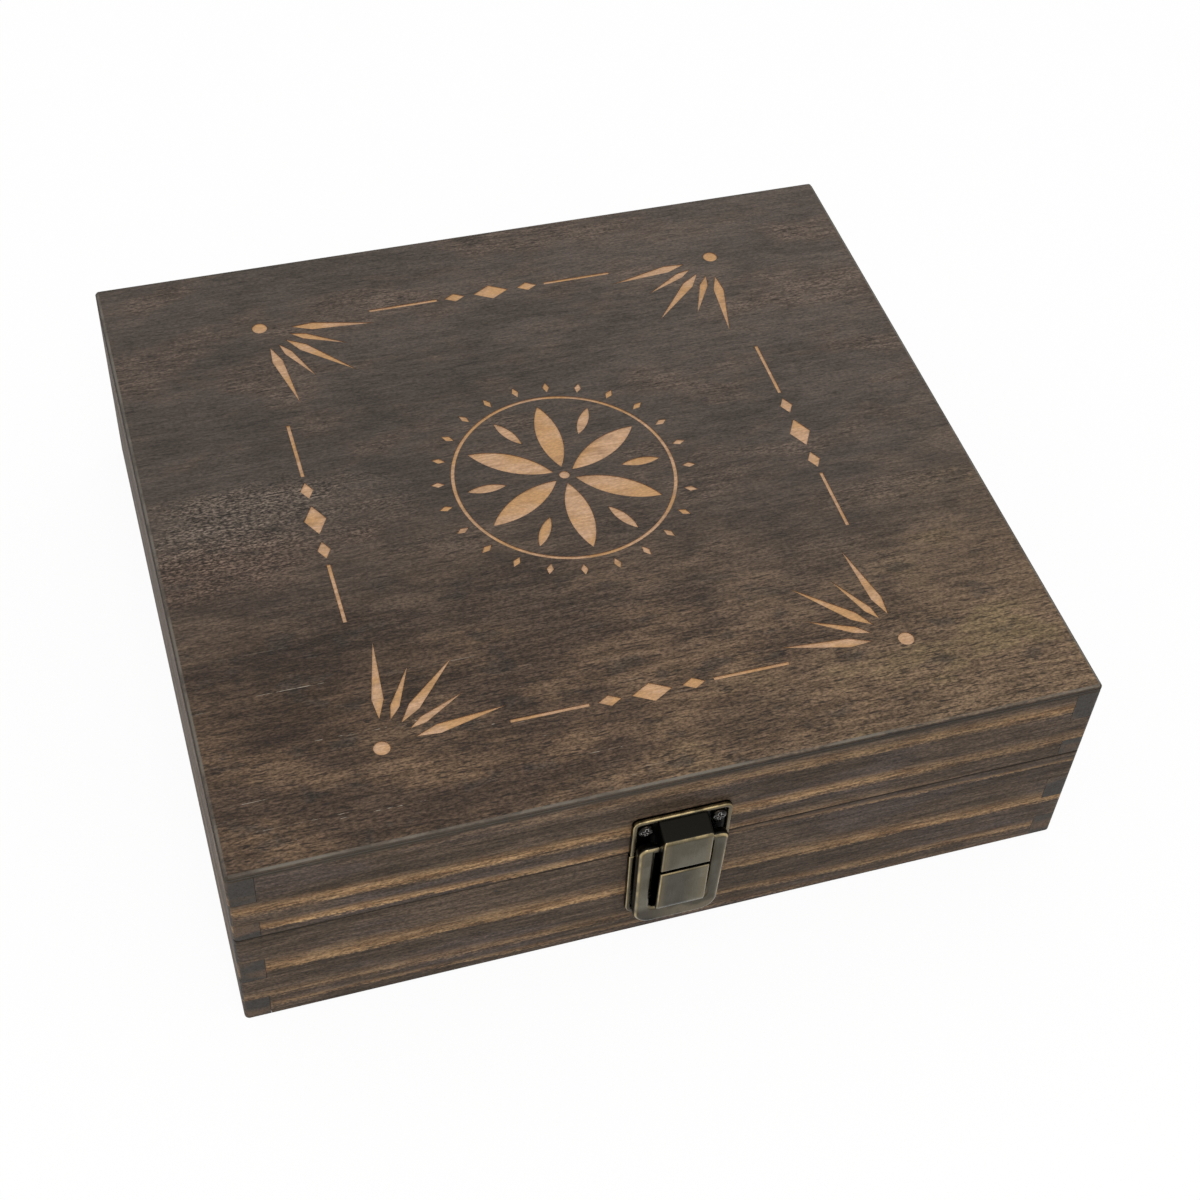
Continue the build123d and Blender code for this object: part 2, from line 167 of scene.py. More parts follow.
def stained_board(name, along, bands, slope=0.0, shift=0.0):
    """Stained pine, its grain along X where along is 0 and along Y where it is 1."""
    material, tree, surface = fresh_material(name)
    stain_dark = (0.047, 0.031, 0.019, 1)
    stain_mid = (0.080, 0.053, 0.034, 1)
    stain_plum = (0.066, 0.047, 0.038, 1)
    deep_stain_and_shade = (0.018, 0.013, 0.009, 1)
    soft_tan = (0.230, 0.124, 0.055, 1)
    soft_gold = (0.310, 0.190, 0.088, 1)
    end_grey = (0.044, 0.039, 0.034, 1)
    end_warm = (0.104, 0.067, 0.043, 1)
    glue_pale = (0.115, 0.100, 0.082, 1)

    coords = wire(tree, "ShaderNodeTexCoord")
    place = in_millimetres(tree, coords)
    axes = split(tree, place)
    half_length = 127.0
    glue_height = 70.0

    def drawn(share):
        """Shares of the three axes for a pattern drawn out along the grain."""
        return (share, 1.0, 1.0) if along == 0 else (1.0, share, 1.0)

    fibre = grain(tree, place, drawn(0.07), 0.90, 4.0, 0.60, shift)
    figure = grain(tree, place, drawn(0.08), 0.17, 4.0, 0.60, shift + 40)
    pores = grain(tree, place, drawn(0.16), 1.70, 2.0, 0.50, shift + 80)
    speck = grain(tree, place, drawn(0.50), 1.80, 2.0, 0.60, shift + 120)
    wander = grain(tree, place, drawn(0.25), 0.05, 2.0, 0.50, shift + 160)
    patchy = grain(tree, place, drawn(0.25), 0.08, 3.0, 0.55, shift + 200)

    # Height of a point within the growth bands, which run aslant and wander
    level = wire(tree, "ShaderNodeMath", {0: axes[along], 1: slope, 2: axes[2]}, operation="MULTIPLY_ADD")
    level = level.outputs[0]
    for ragged, reach in ((wander, 4.0), (fibre, 3.0), (speck, 2.4)):
        sway = times(tree, reckon(tree, "SUBTRACT", ragged, 0.5), reach)
        level = reckon(tree, "ADD", level, sway)
    near, far = streak_profile(tree, level, bands, 0), streak_profile(tree, level, bands, 1)
    way = spread(tree, axes[along], -half_length, half_length)
    streak = tint(tree, way, near, far)
    streak = times(tree, streak, spread(tree, patchy, 0.35, 0.60, 0.60, 1.0))

    colour = tint(tree, spread(tree, figure, 0.60, 0.42), stain_dark, stain_mid)
    colour = tint(tree, spread(tree, patchy, 0.48, 0.62, 0.0, 0.8), colour, stain_plum)
    ripe = tint(tree, spread(tree, fibre, 0.40, 0.60), soft_tan, soft_gold)
    colour = tint(tree, streak, colour, ripe)
    colour = gain(tree, colour, spread(tree, fibre, 0.36, 0.64, 0.74, 1.26))
    colour = gain(tree, colour, spread(tree, speck, 0.32, 0.68, 0.58, 1.42))
    colour = tint(tree, spread(tree, pores, 0.58, 0.70, 0.0, 0.6), colour, deep_stain_and_shade)
    # Painted light: each board darkens towards the positive end of its length
    colour = gain(tree, colour, spread(tree, way, 0.0, 1.0, 1.0, 0.87))

    turned = split(tree, coords.outputs["Normal"])
    sawn_end = spread(tree, reckon(tree, "ABSOLUTE", turned[along]), 0.60, 0.85)
    dots = grain(tree, place, (1.0, 1.0, 1.0), 1.6, 3.0, 0.6, shift + 240)
    rings = grain(tree, place, (0.30, 0.30, 1.0), 0.11, 2.0, 0.5, shift + 280)
    end_colour = tint(tree, spread(tree, rings, 0.47, 0.64), end_grey, end_warm)
    end_colour = tint(tree, spread(tree, dots, 0.45, 0.70, 0.0, 0.6), end_colour, deep_stain_and_shade)
    colour = tint(tree, sawn_end, colour, end_colour)

    # The eased edges are darkened with painted shade like the seam's crease, but the glue under the top panel
    # leaves a pale line
    lean = reckon(tree, "ABSOLUTE", turned[2])
    edge_shade_and_glue = tint(tree, spread(tree, axes[2], glue_height - 0.8, glue_height), deep_stain_and_shade, glue_pale)
    colour = tint(tree, spread(tree, lean, 0.15, 0.60, 0.0, 0.75), colour, edge_shade_and_glue)
    surface.inputs["Specular IOR Level"].default_value = 0.16
    roughness = spread(tree, fibre, 0.3, 0.7, 0.68, 0.52)
    relief = reckon(tree, "SUBTRACT", fibre, spread(tree, pores, 0.58, 0.72, 0.0, 0.6))
    relief = reckon(tree, "ADD", relief, times(tree, speck, 0.5))
    lay_finish(tree, surface, colour, roughness, relief, 0.5, 0.0003)
    return material


def dress(name, material):
    """Give a CAD piece its finish."""
    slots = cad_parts[name].data.materials
    slots.clear()
    slots.append(material)


front_slope = 0.024
base_front_bands = [
    (3.2, 1.6, 3.0, 0.50, 0.15),
    (8.5, 3.5, 3.5, 0.40, 0.60),
    (21.8, 1.6, 7.0, 1.00, 0.85),
    (41.3, 1.2, 1.0, 0.10, 0.55),
]
dress("base_front_wall", stained_board("stained_front_board", 0, base_front_bands, front_slope))
base_back_bands = [(11.0, 2.5, 6.0, 0.8, 0.5), (30.0, 5.0, 2.5, 0.4, 0.9)]
dress("base_back_wall", stained_board("stained_back_board", 0, base_back_bands, -0.012, 300))
base_left_bands = [(8.0, 2.0, 4.0, 0.5, 0.3), (23.0, 3.0, 5.0, 0.8, 0.6), (36.0, 2.0, 2.0, 0.2, 0.5)]
dress("base_left_wall", stained_board("stained_left_board", 1, base_left_bands, 0.010, 600))
base_right_bands = [(14.0, 5.0, 2.5, 0.8, 0.6), (28.0, 2.0, 4.0, 0.3, 0.8), (38.0, 1.5, 1.5, 0.5, 0.2)]
dress("base_right_wall", stained_board("stained_right_board", 1, base_right_bands, -0.015, 900))


# Base bottom panel
# A thin sheet of the same stained wood, let into a rebate round the underside and glued flush.
# Its grain runs along the front, and its face is duller than the walls'.
def stained_sheet(name, shift=0.0):
    """Thin stained sheet, its grain along X, clouded and flecked where the stain took unevenly."""
    material, tree, surface = fresh_material(name)
    back_dark = (0.068, 0.054, 0.044, 1)
    back_mid = (0.088, 0.069, 0.056, 1)
    back_warm = (0.128, 0.089, 0.065, 1)
    front_dark = (0.065, 0.042, 0.028, 1)
    front_warm = (0.130, 0.082, 0.049, 1)
    corner_tan = (0.157, 0.104, 0.063, 1)
    olive = (0.160, 0.114, 0.060, 1)
    smudge = (0.044, 0.037, 0.031, 1)
    deep = (0.018, 0.013, 0.010, 1)
    edge_left = (0.085, 0.072, 0.058, 1)
    edge_brown = (0.058, 0.048, 0.037, 1)
    edge_dark = (0.030, 0.025, 0.021, 1)
    highlight_pale = (0.150, 0.135, 0.112, 1)
    scratch_cream = (0.330, 0.280, 0.220, 1)
    open_grey = (0.130, 0.100, 0.078, 1)
    open_rust = (0.118, 0.077, 0.055, 1)
    left_shade_gain = (0.660, 0.650, 0.660, 1)

    coords = wire(tree, "ShaderNodeTexCoord")
    place = in_millimetres(tree, coords)
    axes = split(tree, place)
    cloud = grain(tree, place, (0.40, 1.0, 1.0), 0.050, 4.0, 0.60, shift)
    drift = grain(tree, place, (0.45, 1.0, 1.0), 0.065, 4.0, 0.60, shift + 40)
    blotch = grain(tree, place, (0.55, 1.0, 1.0), 0.130, 4.0, 0.65, shift + 80)
    fibre = grain(tree, place, (0.10, 1.0, 1.0), 0.90, 4.0, 0.62, shift + 120)
    speck = grain(tree, place, (0.42, 1.0, 1.0), 1.80, 2.0, 0.60, shift + 160)
    pores = grain(tree, place, (0.15, 1.0, 1.0), 1.70, 2.0, 0.50, shift + 200)
    graze = grain(tree, place, (0.012, 1.0, 1.0), 1.60, 1.0, 0.50, shift + 240)
    dashes = grain(tree, place, (0.40, 1.0, 1.0), 0.50, 3.0, 0.70, shift + 280)

    def patch(x, y, half_width, half_depth):
        """Share of a ragged round patch about a place on the sheet, in millimetres."""
        reach = spread(tree, cloud, 0.30, 0.70, -0.5, 0.5)
        for axis, middle, half in ((axes[0], x, half_width), (axes[1], y, half_depth)):
            offset = reckon(tree, "DIVIDE", reckon(tree, "SUBTRACT", axis, middle), half)
            reach = reckon(tree, "ADD", reach, times(tree, offset, offset))
        return spread(tree, reach, 1.2, 0.1)

    # The stain is warmer towards the front, and thinner and yellower at the right corner there
    front = reckon(tree, "ADD", axes[1], times(tree, drift, 90.0))
    rightwards = reckon(tree, "MAXIMUM", axes[0], 0.0)
    front = reckon(tree, "ADD", front, times(tree, rightwards, 0.3))
    front = spread(tree, front, 68.0, -52.0)
    corner = reckon(tree, "SUBTRACT", times(tree, axes[0], 0.75), axes[1])
    corner = spread(tree, reckon(tree, "ADD", corner, times(tree, cloud, 120.0)), 135.0, 275.0)
    back_tone = tint(tree, spread(tree, cloud, 0.40, 0.60), back_dark, back_mid)
    worn = spread(tree, drift, 0.46, 0.63, 0.0, 0.85)
    back_tone = tint(tree, times(tree, worn, 0.5), back_tone, back_warm)
    # Painted light: the back of the sheet is brighter towards the right and towards the back
    back_tone = gain(tree, back_tone, spread(tree, axes[0], -60.0, 110.0, 0.94, 1.16))
    back_tone = gain(tree, back_tone, spread(tree, axes[1], 0.0, 100.0, 0.86, 1.03))
    front_tone = tint(tree, spread(tree, drift, 0.40, 0.60), front_dark, front_warm)
    colour = tint(tree, front, back_tone, front_tone)
    colour = tint(tree, corner, colour, corner_tan)
    yellowed = times(tree, corner, spread(tree, drift, 0.52, 0.62, 0.0, 0.8))
    colour = tint(tree, yellowed, colour, olive)
    # Painted shade darkens the left towards the front, and the grain stands open behind that shade
    left_shade = patch(-92.0, -58.0, 54.0, 36.0)
    colour = gain(tree, colour, left_shade_gain, left_shade)
    open_grain = patch(-98.0, -2.0, 50.0, 24.0)
    open_tone = tint(tree, spread(tree, axes[1], -14.0, 4.0), open_rust, open_grey)
    colour = tint(tree, times(tree, open_grain, 0.6), colour, open_tone)
    colour = gain(tree, colour, spread(tree, speck, 0.34, 0.66, 0.50, 1.32), open_grain)
    bold = reckon(tree, "MAXIMUM", spread(tree, front, 0.0, 1.0, 0.52, 1.0), worn)
    bold = reckon(tree, "MAXIMUM", bold, open_grain)
    smudged = times(tree, spread(tree, blotch, 0.54, 0.66, 0.0, 0.6), bold)
    colour = tint(tree, smudged, colour, smudge)
    colour = gain(tree, colour, spread(tree, fibre, 0.36, 0.64, 0.68, 1.32), bold)
    colour = gain(tree, colour, spread(tree, speck, 0.32, 0.68, 0.52, 1.48), bold)
    pitted = times(tree, spread(tree, pores, 0.57, 0.66, 0.0, 0.8), bold)
    colour = tint(tree, pitted, colour, deep)
    scratch = times(tree, spread(tree, graze, 0.735, 0.755), spread(tree, dashes, 0.50, 0.60))
    for axis, free, handled in ((axes[0], 30.0, -30.0), (axes[1], -40.0, -65.0)):
        scratch = times(tree, scratch, spread(tree, axis, free, handled))
    colour = tint(tree, scratch, colour, scratch_cream)

    # Upright edges hold more stain, and the rounding above them carries a patchy painted highlight
    lean = split(tree, coords.outputs["Normal"])[2]
    lean = reckon(tree, "ABSOLUTE", lean)
    edge_tone = tint(tree, spread(tree, axes[0], -60.0, 60.0), edge_brown, edge_dark)
    edge_tone = tint(tree, spread(tree, axes[0], -126.0, -126.9), edge_tone, edge_left)
    colour = tint(tree, spread(tree, lean, 0.80, 0.55, 0.0, 0.90), colour, edge_tone)
    painted_edge_highlight = times(tree, spread(tree, lean, 0.62, 0.80), spread(tree, lean, 0.99, 0.92))
    painted_edge_highlight = times(tree, painted_edge_highlight, spread(tree, drift, 0.40, 0.56, 0.35, 0.9))
    colour = tint(tree, painted_edge_highlight, colour, highlight_pale)
    surface.inputs["Specular IOR Level"].default_value = 0.16
    roughness = spread(tree, blotch, 0.35, 0.70, 0.55, 0.68)
    relief = reckon(tree, "SUBTRACT", fibre, spread(tree, pores, 0.58, 0.72, 0.0, 0.7))
    relief = reckon(tree, "ADD", relief, times(tree, speck, 0.6))
    lay_finish(tree, surface, colour, roughness, relief, 0.5, 0.0003)
    return material


dress("base_bottom_panel", stained_sheet("stained_bottom_sheet", 500))


# Lid rails
# Four narrower boards of the same stained pine, finger-jointed and glued into the lid's frame.
# The frame was sawn off the glued box, so its grain runs on from the base walls below.
lid_front_bands = [
    (42.7, 1.2, 3.6, 0.95, 0.25),
    (52.4, 3.4, 4.2, 1.00, 0.75),
    (67.8, 3.0, 4.6, 0.00, 0.85),
]
dress("lid_front_rail", stained_board("stained_lid_front", 0, lid_front_bands, front_slope, 1200))
lid_back_bands = [(48.0, 2.0, 5.0, 0.7, 0.4), (60.0, 4.5, 3.0, 0.5, 0.8)]
dress("lid_back_rail", stained_board("stained_lid_back", 0, lid_back_bands, -0.012, 1500))
lid_left_bands = [(46.0, 1.5, 3.5, 0.6, 0.2), (58.0, 3.0, 5.0, 0.8, 0.6)]
dress("lid_left_rail", stained_board("stained_lid_left", 1, lid_left_bands, 0.010, 1800))
lid_right_bands = [(50.0, 2.5, 5.0, 0.8, 0.5), (64.0, 3.0, 3.0, 0.3, 0.7)]
dress("lid_right_rail", stained_board("stained_lid_right", 1, lid_right_bands, -0.015, 2100))


# Lid top panel
# A thin stained sheet glued over the lid's frame, its edges and corners eased with the boards.
# A geometric rosette and sunburst corners are burnt into it, which bares the pale wood.
engraving_depth = 0.0003
engraving_lift = 0.0002
panel_corner = 0.0015
panel_edge = 0.00045
panel_low, panel_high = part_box("lid_top_panel")
panel_size = panel_high - panel_low
panel_middle = (panel_low + panel_high) / 2


def hold(*objects):
    """Select these objects alone, the last one active."""
    bpy.ops.object.select_all(action="DESELECT")
    for obj in objects:
        obj.select_set(True)
    bpy.context.view_layer.objects.active = objects[-1]


def bevel_edges(obj, picks, offset, segments):
    """Round the edges that picks chooses, from the two ends of each."""
    hold(obj)
    for edge in obj.data.edges:
        edge.select = picks(*[obj.data.vertices[v].co for v in edge.vertices])
    bpy.ops.object.mode_set(mode="EDIT")
    bpy.ops.mesh.select_mode(type="EDGE")
    bpy.ops.mesh.bevel(offset=offset, segments=segments)
    bpy.ops.object.mode_set(mode="OBJECT")


bpy.ops.object.select_all(action="DESELECT")
bpy.ops.mesh.primitive_cube_add(size=1, location=panel_middle, scale=panel_size)
top_panel = bpy.context.object
top_panel.name = "engraved_top_panel"
bpy.ops.object.transform_apply(location=True, rotation=True, scale=True)
for poly in top_panel.data.polygons:
    poly.select = False
bevel_edges(top_panel, lambda a, b: abs(a.z - b.z) > panel_size.z / 2, panel_corner, 6)
top_level = panel_high.z - millimetre / 100
bevel_edges(top_panel, lambda a, b: a.z > top_level and b.z > top_level, panel_edge, 4)


def flat_shape(corners, radius):
    """A flat round shape lying just over the panel, for one engraved motif."""
    bpy.ops.object.select_all(action="DESELECT")
    place = (0, 0, panel_high.z + engraving_lift)
    bpy.ops.mesh.primitive_circle_add(vertices=corners, radius=radius, fill_type="NGON", location=place)
    bpy.ops.object.transform_apply(location=True, rotation=True, scale=True)
    return bpy.context.object


def petal(inner, outer, half_width):
    """A pointed petal along +X: an arc cut off along its chord, and its mirror image."""
    chord = outer - inner
    radius = (chord**2 / 4 + half_width**2) / (2 * half_width)
    shape = flat_shape(160, radius)
    bpy.ops.object.mode_set(mode="EDIT")
    bpy.ops.mesh.select_all(action="SELECT")
    bpy.ops.transform.translate(value=((inner + outer) / 2, half_width - radius, 0))
    near_chord = millimetre / 1000
    bpy.ops.mesh.bisect(plane_co=(0, 0, 0), plane_no=(0, 1, 0), clear_inner=True, threshold=near_chord)
    bpy.ops.object.mode_set(mode="OBJECT")
    twin = shape.modifiers.new("twin", "MIRROR")
    twin.use_axis = (False, True, False)
    twin.merge_threshold = 2 * near_chord
    bpy.ops.object.modifier_apply(modifier="twin")
    return shape


def ray(inner, outer, half_width, shoulder_share):
    """A kite along +X, widest at a share of its length."""
    length = outer - inner
    shape = flat_shape(4, length / 2)
    bpy.ops.object.mode_set(mode="EDIT")
    bpy.ops.mesh.select_mode(type="VERT")
    bpy.ops.mesh.select_all(action="DESELECT")
    bpy.ops.object.mode_set(mode="OBJECT")
    for vertex in shape.data.vertices:
        vertex.select = abs(vertex.co.x) < length / 4
    bpy.ops.object.mode_set(mode="EDIT")
    bpy.ops.transform.translate(value=((shoulder_share - 0.5) * length, 0, 0))
    bpy.ops.mesh.select_all(action="SELECT")
    bpy.ops.transform.resize(value=(1, 2 * half_width / length, 1), center_override=(0, 0, 0))
    bpy.ops.transform.translate(value=((inner + outer) / 2, 0, 0))
    bpy.ops.object.mode_set(mode="OBJECT")
    return shape


def ring(radius, width):
    """A thin engraved circle."""
    shape = flat_shape(96, radius + width / 2)
    bpy.ops.object.mode_set(mode="EDIT")
    bpy.ops.mesh.select_all(action="SELECT")
    bpy.ops.mesh.inset(thickness=width)
    bpy.ops.mesh.delete(type="FACE")
    bpy.ops.object.mode_set(mode="OBJECT")
    return shape


def bar(length, width):
    """A straight engraved line along X."""
    bpy.ops.object.select_all(action="DESELECT")
    bpy.ops.mesh.primitive_plane_add(size=1, location=(0, 0, panel_high.z + engraving_lift))
    bpy.ops.object.mode_set(mode="EDIT")
    bpy.ops.transform.resize(value=(length, width, 1))
    bpy.ops.object.mode_set(mode="OBJECT")
    bpy.ops.object.transform_apply(location=True, rotation=True, scale=True)
    return bpy.context.object


def strewn(shape, places):
    """Copies of a motif, each turned and then moved: (x, y, angle in degrees). The motif is used up."""
    copies = []
    for x, y, angle in places:
        copy = shape.copy()
        copy.data = shape.data.copy()
        bpy.context.scene.collection.objects.link(copy)
        turn = Matrix.Rotation(math.radians(angle), 4, "Z")
        copy.data.transform(Matrix.Translation((x, y, 0)) @ turn)
        copies.append(copy)
    bpy.data.objects.remove(shape)
    return copies


# A rosette in a ring with ticks round it, a sunburst at each corner, and lozenges and lines between
motifs = []
line_width = 0.0011
rosette_reach = 0.031
petal_root, petal_half_width = 0.0035, 0.0038
sepal_root, sepal_half_width = 0.0185, 0.0016
hub_radius = 0.0016
ring_radius = 0.0345
tick_root, tick_tip, tick_half_width = 0.0370, 0.0415, 0.0011
sixths = [60 * n for n in range(6)]
motifs += strewn(petal(petal_root, rosette_reach, petal_half_width), [(0, 0, a + 90) for a in sixths])
motifs += strewn(petal(sepal_root, rosette_reach, sepal_half_width), [(0, 0, a + 60) for a in sixths])
motifs += strewn(flat_shape(24, hub_radius), [(0, 0, 0)])
motifs += strewn(ring(ring_radius, line_width), [(0, 0, 0)])
ticks = [(0, 0, 15 * n + 7.5) for n in range(24)]
motifs += strewn(ray(tick_root, tick_tip, tick_half_width, 0.5), ticks)
corner_x, corner_y = 0.078, 0.088
burst_root, burst_shoulder_share = 0.010, 0.25
long_tip, long_half_width, long_turns = 0.038, 0.0017, (-36, 0, 36)
short_tip, short_half_width, short_turns = 0.030, 0.0013, (-18, 18)
burst_dot_radius = 0.0024
for mark_x, mark_y in ((-1, -1), (1, -1), (1, 1), (-1, 1)):
    middle_turn = math.degrees(math.atan2(-mark_y, -mark_x))
    spot = (mark_x * corner_x, mark_y * corner_y)
    for tip, half_width, turns in (
        (long_tip, long_half_width, long_turns),
        (short_tip, short_half_width, short_turns),
    ):
        fan = [(*spot, middle_turn + turn) for turn in turns]
        motifs += strewn(ray(burst_root, tip, half_width, burst_shoulder_share), fan)
    motifs += strewn(flat_shape(20, burst_dot_radius), [(*spot, 0)])
lozenge_half_length, lozenge_half_width = 0.006, 0.0034
small_half_length, small_half_width, small_step = 0.0035, 0.0020, 0.0125
dash_length, dash_step = 0.0230, 0.0300
for angle, reach in ((0, corner_x), (180, corner_x), (90, corner_y), (270, corner_y)):
    turn = Matrix.Rotation(math.radians(angle), 3, "Z")
    centre = turn @ Vector((reach, 0, 0))
    lozenge = ray(-lozenge_half_length, lozenge_half_length, lozenge_half_width, 0.5)
    motifs += strewn(lozenge, [(centre.x, centre.y, angle + 90)])
    for side in (-1, 1):
        beside = turn @ Vector((reach, side * small_step, 0))
        small = ray(-small_half_length, small_half_length, small_half_width, 0.5)
        motifs += strewn(small, [(beside.x, beside.y, angle + 90)])
        line = turn @ Vector((reach, side * dash_step, 0))
        motifs += strewn(bar(dash_length, line_width), [(line.x, line.y, angle + 90)])
hold(*motifs)
bpy.ops.object.join()
cutter = bpy.context.object
thick = cutter.modifiers.new("thick", "SOLIDIFY")
thick.thickness = engraving_depth + engraving_lift
thick.offset = -1
bpy.ops.object.modifier_apply(modifier="thick")
bpy.ops.object.mode_set(mode="EDIT")
bpy.ops.mesh.select_all(action="SELECT")
bpy.ops.mesh.normals_make_consistent(inside=False)
bpy.ops.object.mode_set(mode="OBJECT")

bared, tree, surface = fresh_material("bared_wood")
bare_tan = (0.445, 0.262, 0.140, 1)
bare_pale = (0.540, 0.335, 0.200, 1)
bare_gold = (0.470, 0.258, 0.104, 1)
burnt = (0.160, 0.080, 0.036, 1)
coords = wire(tree, "ShaderNodeTexCoord")
place = in_millimetres(tree, coords)
fibre = grain(tree, place, (0.08, 1.0, 1.0), 1.4, 4.0)
scorch = grain(tree, place, (0.35, 1.0, 1.0), 0.35, 3.0)
honey = grain(tree, place, (0.60, 1.0, 1.0), 0.11, 2.0, 0.5, 40)
spots = grain(tree, place, (0.45, 1.0, 1.0), 1.9, 2.0, 0.6, 80)
colour = tint(tree, spread(tree, fibre, 0.35, 0.65), bare_tan, bare_pale)
colour = tint(tree, spread(tree, honey, 0.42, 0.60, 0.0, 0.85), colour, bare_gold)
colour = gain(tree, colour, spread(tree, spots, 0.30, 0.70, 0.84, 1.16))
colour = tint(tree, spread(tree, scorch, 0.48, 0.75, 0.0, 0.35), colour, burnt)
upward = split(tree, coords.outputs["Normal"])[2]
colour = tint(tree, spread(tree, upward, 0.2, 0.9), burnt, colour)
lay_finish(tree, surface, colour, spread(tree, fibre, 0.3, 0.7, 0.75, 0.65), fibre, 0.3, 0.0002)

top_panel.data.materials.append(stained_sheet("stained_top_sheet"))
cutter.data.materials.append(bared)
hold(top_panel)
engrave = top_panel.modifiers.new("engrave", "BOOLEAN")
engrave.object = cutter
engrave.operation = "DIFFERENCE"
engrave.solver = "EXACT"
engrave.material_mode = "TRANSFER"
bpy.ops.object.modifier_apply(modifier="engrave")
bpy.data.objects.remove(cutter)
hold(top_panel)
smooth_angle = math.radians(30)
bpy.ops.object.shade_smooth_by_angle(angle=smooth_angle)
even = top_panel.modifiers.new("even", "WEIGHTED_NORMAL")
even.keep_sharp = True
bpy.ops.object.modifier_apply(modifier="even")
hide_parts("lid_top_panel")
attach(top_panel, "lid")


# Latch: keeper plate, hasp plate, hasp frame and its pin
# Pressed brass, blackened and then rubbed back: the recesses stay black, the faces are olive
# grey and the edges are rubbed bright. The sides carry painted shade, the edges painted highlights,
# and each part's left and right are painted lighter or darker. The plates are screwed to the boards,
# and the frame swings on its pin.
def antique_brass(name, floor_reach, crown, half_face, painted_left_light=1.0, painted_right_light=1.0, shift=0.0):
    """Blackened brass whose outward faces beyond floor_reach, in millimetres from the middle of the
    box, are rubbed back; crown is the height of its upper edge, and half_face half the width of its
    face, which is browner at its sides. painted_left_light and painted_right_light are painted light:
    they say how bright its left and right are painted; its sides get painted shade and its edges a
    painted highlight."""
    material, tree, surface = fresh_material(name)
    black = (0.007, 0.0065, 0.005, 1)
    black_patina_and_shade = (0.012, 0.011, 0.009, 1)
    olive = (0.158, 0.143, 0.106, 1)
    olive_dark = (0.106, 0.091, 0.059, 1)
    side_brown = (0.165, 0.130, 0.070, 1)
    bar_brown = (0.132, 0.104, 0.063, 1)
    bar_dark = (0.050, 0.042, 0.025, 1)
    worn_brass_and_highlight = (0.450, 0.345, 0.175, 1)

    coords = wire(tree, "ShaderNodeTexCoord")
    place = in_millimetres(tree, coords)
    axes = split(tree, place)
    turned = split(tree, coords.outputs["Normal"])
    facing = reckon(tree, "ABSOLUTE", turned[1])
    depth = reckon(tree, "ABSOLUTE", axes[1])
    proud = spread(tree, depth, floor_reach, floor_reach + 0.5)
    cloud = grain(tree, place, (1.0, 1.0, 1.0), 0.11, 2.0, 0.5, shift)
    brushed = grain(tree, place, (1.0, 1.0, 0.08), 3.0, 3.0, 0.6, shift + 40)
    pits = grain(tree, place, (1.0, 1.0, 1.0), 2.2, 3.0, 0.6, shift + 80)

    face = tint(tree, spread(tree, cloud, 0.36, 0.64), olive_dark, olive)
    # Painted light: each part's left and right are painted lighter or darker
    painted_side_light = spread(tree, axes[0], -1.0, 6.0, painted_left_light, painted_right_light)
    face = gain(tree, face, painted_side_light)
    aside = spread(tree, reckon(tree, "ABSOLUTE", axes[0]), half_face - 2.5, half_face, 0.0, 0.5)
    face = tint(tree, aside, face, side_brown)
    bar_tone = tint(tree, spread(tree, cloud, 0.42, 0.56), bar_dark, bar_brown)
    # Painted shade: the bar darkens towards its left
    bar_tone = gain(tree, bar_tone, spread(tree, axes[0], -11.0, 5.0, 0.25, 1.0))
    face = tint(tree, spread(tree, axes[2], 20.0, 16.0, 0.0, 0.85), face, bar_tone)
    face = tint(tree, spread(tree, pits, 0.58, 0.75, 0.0, 0.5), face, black_patina_and_shade)
    # Faces turned away from the front go black: blackened patina, with painted shade on the sides
    colour = tint(tree, spread(tree, facing, 0.42, 0.64), black_patina_and_shade, face)
    # Edges that turn outwards from the middle of the latch are handled most and rubbed bright, with a painted
    # highlight that is weaker on edges turned downwards
    outer = spread(tree, times(tree, axes[0], turned[0]), -4.0, 4.0, 0.15, 1.0)
    rim_wear_and_highlight = times(tree, spread(tree, facing, 0.46, 0.62), spread(tree, facing, 0.97, 0.78))
    rim_wear_and_highlight = times(tree, rim_wear_and_highlight, outer)
    rim_wear_and_highlight = times(tree, rim_wear_and_highlight, spread(tree, turned[2], -0.5, 0.1, 0.45, 1.0))
    touch = grain(tree, place, (1.0, 1.0, 0.6), 0.22, 2.0, 0.5, shift + 120)
    handled = spread(tree, touch, 0.38, 0.58, 0.25, 1.0)
    colour = tint(tree, times(tree, rim_wear_and_highlight, handled), colour, worn_brass_and_highlight)
    colour = tint(tree, proud, black, colour)
    # The side under the upper edge is rounded, and rubbed bright with a painted highlight like the edge
    upper_wear_and_highlight = times(tree, handled, spread(tree, axes[2], crown - 1.5, crown - 0.5))
    upper_wear_and_highlight = times(tree, upper_wear_and_highlight, spread(tree, turned[2], 0.3, 0.8))
    upper_wear_and_highlight = times(tree, upper_wear_and_highlight, spread(tree, depth, floor_reach - 0.5, floor_reach))
    colour = tint(tree, upper_wear_and_highlight, colour, worn_brass_and_highlight)
    surface.inputs["Metallic"].default_value = 1.0
    roughness = spread(tree, brushed, 0.3, 0.7, 0.26, 0.40)
    lay_finish(tree, surface, colour, roughness, pits, 0.08, 0.0001)
    return material


